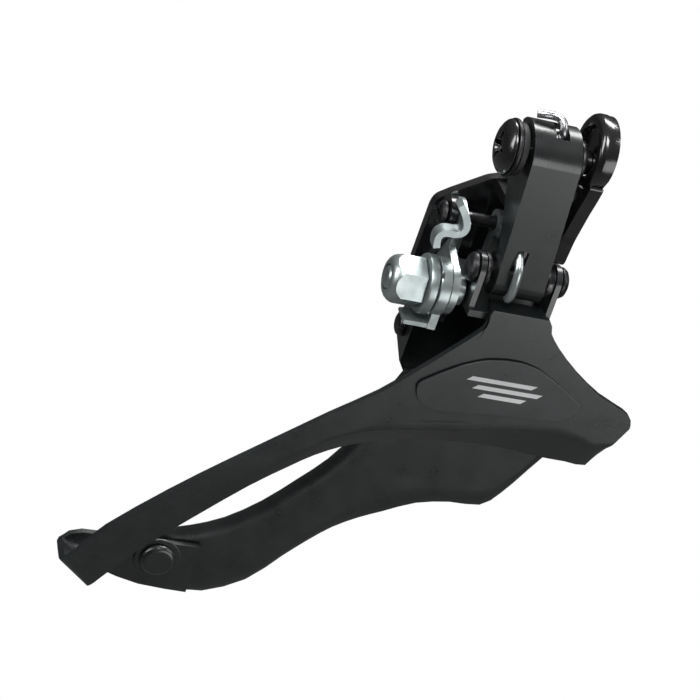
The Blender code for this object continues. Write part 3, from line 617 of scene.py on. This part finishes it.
def inner_plate():
    top = [(-66.0, -112.6), (-61.0, -110.9), (-55.0, -109.6), (-49.1, -107.8), (-42.2, -104.4),
           (-35.2, -98.6), (-28.7, -91.2), (-23.4, -84.6), (-19.0, -76.0), (-16.2, -66.0), (-14.4, -58.2),
           (-7.0, -57.6), (1.0, -57.0), (9.0, -57.0), (16.0, -58.0), (22.0, -59.4), (28.0, -61.0)]
    low = [(-66.0, -116.8), (-62.5, -119.6), (-55.8, -123.4), (-51.0, -124.3), (-42.6, -123.7),
           (-33.8, -119.0), (-27.3, -111.0), (-22.6, -105.6), (-18.2, -101.3), (-13.0, -97.8), (-8.0, -95.2),
           (-0.9, -91.5), (7.0, -89.8), (14.1, -89.4), (17.6, -85.4), (21.4, -78.4), (28.0, -66.0)]
    rows = [[] for _ in range(5)]
    for t, b in zip(top, low):
        roll = 1.1 if t[1] < -70.0 else 0.0
        for k, (f, y) in enumerate(((0.0, 5.5 + roll), (0.10, 5.5 + 0.25 * roll), (0.28, 5.5), (0.86, 5.5),
                                    (1.0, 6.2))):
            rows[k].append((t[0] + (b[0] - t[0]) * f, y, t[1] + (b[1] - t[1]) * f))
    rows = [list(reversed(r)) for r in rows]
    piece("cage_inner", "cage", "cage_inner_plate", BLACK, sheet(refine(rows, 4), PLATE),
          cuts=[hole("y", TAIL, TAIL_BORE, 2.0, 9.0)] + rivet_holes(), bevel=0.25, angle=40)


def pivot_bracket():
    y0, y1 = 5.9, 7.4
    face = rounded([(8.9, -37.0), (8.9, -46.0), (8.0, -66.5), (-9.0, -66.5), (-15.8, -57.0), (-15.8, -46.5),
                    (-14.4, -45.4), (-9.5, -45.4), (-9.5, -37.0)], 0.8)
    ear = hull(circle(L_Y, L_Z, 3.7) + [(-4.2, -36.2), (5.0, -36.2)])
    foot = hull(circle(J_Y, J_Z, 4.3) + [(y0 + 0.6, -46.6), (y0 + 0.6, -57.0)])
    joins = [box(-9.5, 8.9, -5.1, y1, -37.0, -35.5), prism("x", ear, -9.5, -8.3), prism("x", ear, 7.7, 8.9),
             prism("x", foot, -15.8, -14.3), prism("x", foot, 6.6, 8.1)]
    cuts = [hole("x", (L_Y, L_Z), LOWER_BORE, -20.0, 12.0), hole("x", (J_Y, J_Z), 1.8, -20.0, 12.0)]
    cuts += rivet_holes()
    piece("cage_bracket", "cage", "cage_pivot_bracket", BLACK, prism("y", face, y0, y1),
          joins, cuts, bevel=0.25)


def cage_small():
    for name, node, x in (("rivet_a", "bracket_rivet_rear", -RIVET_X),
                          ("rivet_b", "bracket_rivet_front", RIVET_X)):
        piece(name, "cage", node, STEEL, turned("y", (x, RIVET_Z), [
            (2.9, 1.2), (2.95, 1.8), (3.2, 2.3), (3.5, 2.6), (3.55, 1.45), (7.7, 1.45), (7.7, 2.5),
            (8.2, 2.3), (8.45, 1.8), (8.5, 1.0)], 36), bevel=0)
    piece("tail_rivet_head", "cage", "tail_rivet", BLACK, turned("y", TAIL, [
        (-0.1, 2.8), (-0.02, 3.3), (0.25, 3.75), (0.6, 3.95), (1.1, 4.0), (1.1, 1.65), (7.4, 1.65),
        (7.4, 3.4), (7.9, 3.2), (8.3, 2.5), (8.4, 1.6)], 48), bevel=0)
    piece("tail_ring", "cage", "tail_washer", BLACK, tube("y", TAIL, 1.4, 1.9, TAIL_BORE, 5.2, 0.2), bevel=0)
    lens = [(-15.9, -53.7), (-11.5, -50.2), (-7.2, -47.3), (-3.1, -45.4), (1.0, -44.6), (5.4, -44.5),
            (9.6, -45.4), (14.0, -47.6), (18.4, -50.2), (22.2, -52.7), (21.6, -55.2), (18.8, -57.2),
            (12.0, -57.8), (4.0, -58.2), (-4.0, -59.0), (-11.0, -59.6), (-14.6, -57.4)]
    piece("label", "cage", "label_badge", LABEL, prism("y", rounded(lens, 1.6), -7.75, -7.3), bevel=0.08)
    bars = []
    for x0, x1, z in ((-5.5, 9.5, -50.6), (-3.6, 11.4, -52.5), (-1.7, 8.2, -54.4)):
        bars.append(prism("y", [(x0, z), (x1, z), (x1 + 1.1, z + 1.0), (x0 + 1.1, z + 1.0)], -7.79, -7.6))
    piece("label_print", "cage", None, PRINT, bars[0], bars[1:], bevel=0)
    piece("lower_inner_pin", "cage", "inner_lower_pin", DARK, turned(
        "x", (J_Y, J_Z), [(-17.5, 1.2), (-17.4, 1.9), (-17.05, 2.5), (-16.5, 2.75), (-16.1, 2.7),
                          (-16.1, 1.5), (8.5, 1.5), (8.5, 2.4), (9.0, 2.25), (9.35, 1.6),
                          (9.4, 0.9)], 40), bevel=0)


# ---------------------------------------------------------------- inner link and cable anchor
def ribbon(path, thick):
    """The outline of a bent strip from its middle line."""
    left, right = [], []
    for i, (x, z) in enumerate(path):
        x0, z0 = path[max(i - 1, 0)]
        x1, z1 = path[min(i + 1, len(path) - 1)]
        d = math.hypot(x1 - x0, z1 - z0)
        nx, nz = -(z1 - z0) / d * thick / 2, (x1 - x0) / d * thick / 2
        left.append((x + nx, z + nz))
        right.append((x - nx, z - nz))
    return left + right[::-1]


def inner_arm():
    ay, az = ANCHOR
    arm = [(4.0, -20.4), (4.0, -22.8), (7.4, -24.6), (7.4, -28.0), (2.4, -29.4)]
    arm += circle(ay, az, 5.6, 48, 100, 240) + circle(I_Y, I_Z, 4.0, 24, 0, 110)
    bent = smooth_path([(-15.9, -16.4), (-14.9, -17.6), (-13.7, -19.4), (-13.1, -21.2), (-13.5, -22.5),
                        (-14.8, -23.1), (-16.8, -23.2), (-18.0, -23.9), (-18.3, -25.2), (-17.9, -27.0)], 3)
    (hx, _), (lx, _) = SCREWS
    joins = [prism("y", ribbon(bent, 1.5), 3.2, 6.4),
             box(-13.8, -10.4, I_Y - 1.4, I_Y + 1.4, -47.6, -23.6),
             box(-13.75, 5.9, I_Y - 1.35, I_Y + 1.35, -49.5, -33.0),
             turned("x", (J_Y, J_Z), [(-13.78, 3.3), (5.9, 3.3)], 40),
             box(-4.3, 4.3, I_Y - 1.3, I_Y + 1.3, -34.0, -23.0),
             turned("x", (I_Y, I_Z), [(-4.3, 3.0), (4.4, 3.0)], 40),
             # the two blocks that meet the limit screws
             box(hx - 1.9, hx + 1.6, 6.6, I_Y, -23.6, -21.5),
             box(lx - 1.4, 4.35, I_Y - 0.5, 14.2, -21.6, -19.2)]
    cuts = [hole("x", (I_Y, I_Z), INNER_BORE, -20.0, 12.0), hole("x", (J_Y, J_Z), FOOT_BORE, -20.0, 12.0),
            hole("x", ANCHOR, STUD_BORE, -20.0, -8.0)]
    piece("zinc_link", "inner_arm", "inner_link", ZINC, prism("x", arm, -13.8, -12.2),
          joins, cuts, bevel=0.25)
    piece("cable_stud", "inner_arm", "anchor_bolt", ZINC, turned("x", ANCHOR, [
        (-27.0, 1.2), (-26.95, 2.0), (-26.5, 2.5), (-11.9, 2.5), (-11.9, 3.3), (-10.1, 3.3),
        (-9.9, 3.0)], 40), bevel=0.1)
    nut_trim = turned("x", ANCHOR, [(-30.0, 9.0), (-30.0, 3.2), (-26.72, 3.3), (-26.6, 3.8), (-26.2, 4.4),
                                    (-25.6, 4.9), (-24.9, 5.25), (-24.2, 5.5), (-24.1, 9.0)], 72, True)
    piece("cable_nut", "nut", "anchor_nut", ZINC,
          turned("x", ANCHOR, [(-26.7, 5.54), (-19.4, 5.54)], 6, spin=20.0),
          cuts=[nut_trim, hole("x", ANCHOR, STUD_BORE, -30.0, -15.0)], bevel=0.2)
    piece("thick_washer", "inner_arm", "anchor_washer", ZINC,
          tube("x", ANCHOR, -19.1, -17.0, STUD_BORE, 6.5, 0.45), bevel=0)
    piece("clamp", "inner_arm", "cable_clamp_plate", ZINC,
          tube("x", ANCHOR, -16.7, -14.1, STUD_BORE, 6.3, 0.3),
          [box(-16.0, -14.2, ay - 4.4, ay + 1.4, az - 8.2, az - 4.0),
           prism("y", rounded([(-21.4, az - 8.1), (-14.3, az - 8.1),
                               (-14.3, az - 7.1), (-21.4, az - 7.1)], 0.45), ay - 4.2, ay + 1.2)],
          [box(-17.5, -16.1, ay - 4.6, ay - 3.5, az - 6.9, az + 9.0)], bevel=0.15)


def limit_screws():
    for name, node, body_name, c, tip in (("screw_high", "high_limit_screw", "high_screw", SCREWS[0], -18.7),
                                          ("screw_low", "low_limit_screw", "low_screw", SCREWS[1], -18.9)):
        x, y = c
        threads = [(tip, 1.2), (tip + 0.4, 1.7)]
        h = tip + 0.6
        while h < -15.2:
            threads += [(h, 2.0), (h + 0.32, 1.7)]
            h += 0.64
        profile = threads + [(-14.6, 2.0), (-14.3, 2.0), (-14.3, 2.8), (-14.1, 2.9), (-13.5, 2.9),
                             (-13.0, 2.7), (-12.5, 2.1), (-12.4, 1.4)]
        piece(name, body_name, node, STEEL, turned("z", c, profile, 40), cuts=[
            box(x - 2.2, x + 2.2, y - 0.4, y + 0.4, -13.2, -10.0),
            box(x - 0.4, x + 0.4, y - 2.2, y + 2.2, -13.2, -10.0)], bevel=0)


body()
outer_arm()
outer_plate()
inner_plate()
pivot_bracket()
cage_small()
inner_arm()
limit_screws()


# ---------------------------------------------------------------- studio
def seen_white(tree, shader_out, other_out, target):
    """Plain white to the camera, the other shader to every other ray."""
    path = tree.nodes.new("ShaderNodeLightPath")
    mix = tree.nodes.new("ShaderNodeMixShader")
    tree.links.new(path.outputs["Is Camera Ray"], mix.inputs[0])
    tree.links.new(other_out, mix.inputs[1])
    tree.links.new(shader_out, mix.inputs[2])
    tree.links.new(mix.outputs[0], target)


def studio():
    bm = bmesh.new()
    bmesh.ops.create_grid(bm, x_segments=1, y_segments=1, size=6.0)
    me = bpy.data.meshes.new("floor")
    bm.to_mesh(me)
    bm.free()
    n = Nodes("pale_floor")
    n.link(n.mix(n.noise(3.0, 3.0), rgb(0.16, 0.16, 0.16), rgb(0.2, 0.2, 0.2)), n.bsdf.inputs["Base Color"])
    n.set(Roughness=0.9)
    glow = n.add("ShaderNodeEmission")
    glow.inputs["Strength"].default_value = 1.0
    seen_white(n.tree, glow.outputs[0], n.bsdf.outputs[0], n.tree.nodes["Material Output"].inputs["Surface"])
    me.materials.append(n.mat)
    floor = bpy.data.objects.new("floor", me)
    floor.location = (0, 0, FLOOR_Z)
    scene.collection.objects.link(floor)

    w = bpy.data.worlds.new("studio")
    scene.world = w
    w.use_nodes = True
    tree = w.node_tree
    white = tree.nodes["Background"]
    white.inputs["Color"].default_value = (1, 1, 1, 1)
    room = tree.nodes.new("ShaderNodeBackground")
    room.inputs["Strength"].default_value = ROOM_LIGHT
    coord = tree.nodes.new("ShaderNodeTexCoord")
    axes = tree.nodes.new("ShaderNodeSeparateXYZ")
    ramp = tree.nodes.new("ShaderNodeValToRGB")
    ramp.color_ramp.elements[0].position, ramp.color_ramp.elements[0].color = 0.45, (0.05, 0.05, 0.05, 1)
    ramp.color_ramp.elements[1].position, ramp.color_ramp.elements[1].color = 0.95, (1, 1, 1, 1)
    half = tree.nodes.new("ShaderNodeMath")
    half.operation = "MULTIPLY_ADD"
    half.inputs[1].default_value = half.inputs[2].default_value = 0.5
    tree.links.new(coord.outputs["Generated"], axes.inputs[0])
    tree.links.new(axes.outputs["Z"], half.inputs[0])
    tree.links.new(half.outputs[0], ramp.inputs[0])
    tree.links.new(ramp.outputs[0], room.inputs["Color"])
    seen_white(tree, white.outputs[0], room.outputs[0], tree.nodes["World Output"].inputs["Surface"])

    centre = Vector((-0.025, -0.015, -0.01))

    def softbox(name, az, el, dist, size, watts):
        a, e = math.radians(az), math.radians(el)
        at = centre + Vector((math.sin(a) * math.cos(e), -math.cos(a) * math.cos(e), math.sin(e))) * dist
        light = bpy.data.lights.new(name, "AREA")
        light.shape, light.size, light.size_y, light.energy = "RECTANGLE", size[0], size[1], watts
        ob = bpy.data.objects.new(name, light)
        ob.location = at
        ob.rotation_euler = (centre - at).to_track_quat("-Z", "Y").to_euler()
        scene.collection.objects.link(ob)
    softbox("key", -25, 58, 0.8, (0.45, 0.30), 4.5)
    softbox("low", 30, -8, 0.8, (0.60, 0.42), 1.7)
    softbox("left", -85, 25, 0.8, (0.25, 0.5), 2.6)
    softbox("right", 75, 30, 0.9, (0.12, 0.6), 1.6)
    softbox("back", 160, 55, 0.8, (0.6, 0.25), 5.0)


def camera():
    az, el, roll = math.radians(-20), math.radians(28), math.radians(19.5)
    back = Vector((math.sin(az) * math.cos(el), -math.cos(az) * math.cos(el), math.sin(el)))
    right = Vector((math.cos(az), math.sin(az), 0))
    up = back.cross(right)
    x = right * math.cos(roll) + up * math.sin(roll)
    y = -right * math.sin(roll) + up * math.cos(roll)
    cam = bpy.data.cameras.new("camera")
    cam.sensor_width, cam.lens = 36.0, 105.8
    ob = bpy.data.objects.new("camera", cam)
    m = ob.matrix_world.copy()
    for i, v in enumerate((x, y, back)):
        for j in range(3):
            m[j][i] = v[j]
    m.translation = world((-161.3, -361.6, 151.8))
    ob.matrix_world = m
    scene.collection.objects.link(ob)
    scene.camera = ob


studio()
camera()
scene.view_settings.view_transform = "Standard"
